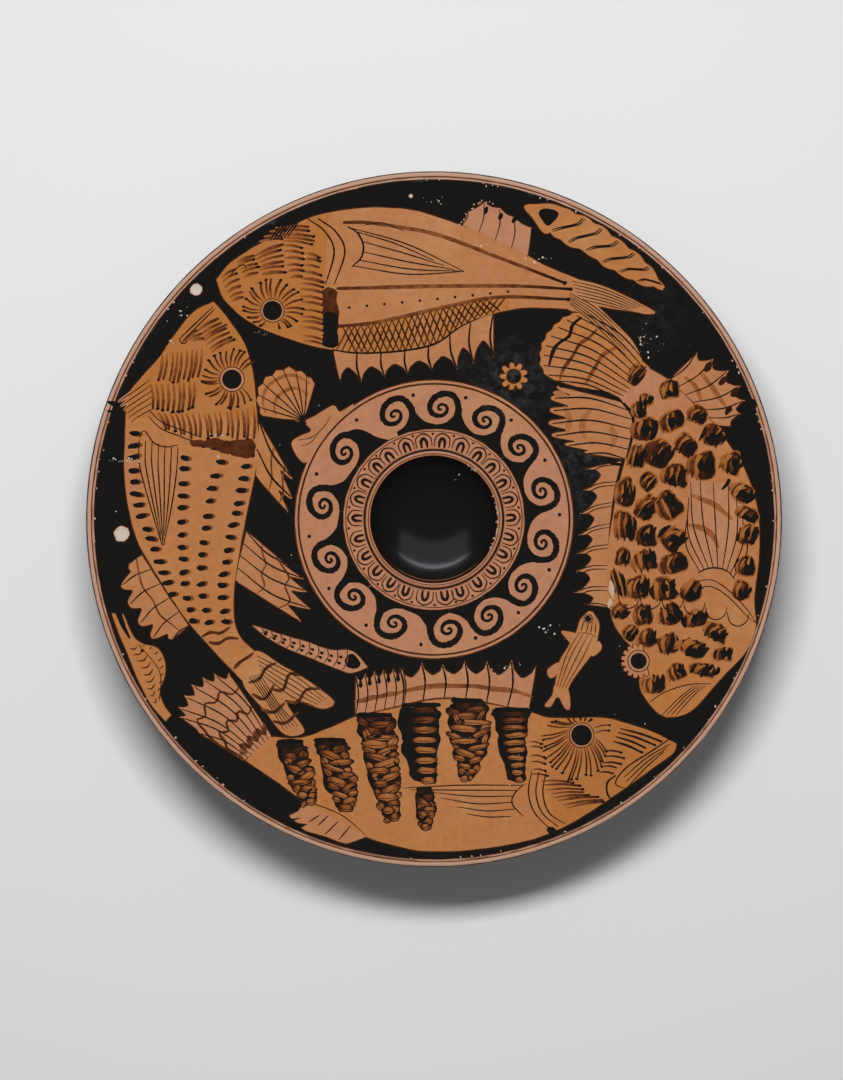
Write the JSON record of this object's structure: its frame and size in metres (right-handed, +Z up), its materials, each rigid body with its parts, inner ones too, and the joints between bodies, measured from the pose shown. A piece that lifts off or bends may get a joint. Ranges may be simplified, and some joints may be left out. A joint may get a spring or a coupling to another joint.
{
  "type": "fish plate",
  "caption": "Shallow round pottery plate on a hollow ring foot, with a small well in the middle, a grooved lip and a rim turned down all round.",
  "frame": {"origin": "middle of the foot's resting ring, on the table", "axes": "+Z up along the axis of turning; +Y towards the upper edge of the painted side as the picture shows it; +X to its right"},
  "size_m": [0.3, 0.3, 0.066],
  "materials": {
    "pottery": "black gloss over orange clay"
  },
  "bodies": {
    "root": {"fish_plate": "pottery"}
  },
  "joints": []
}
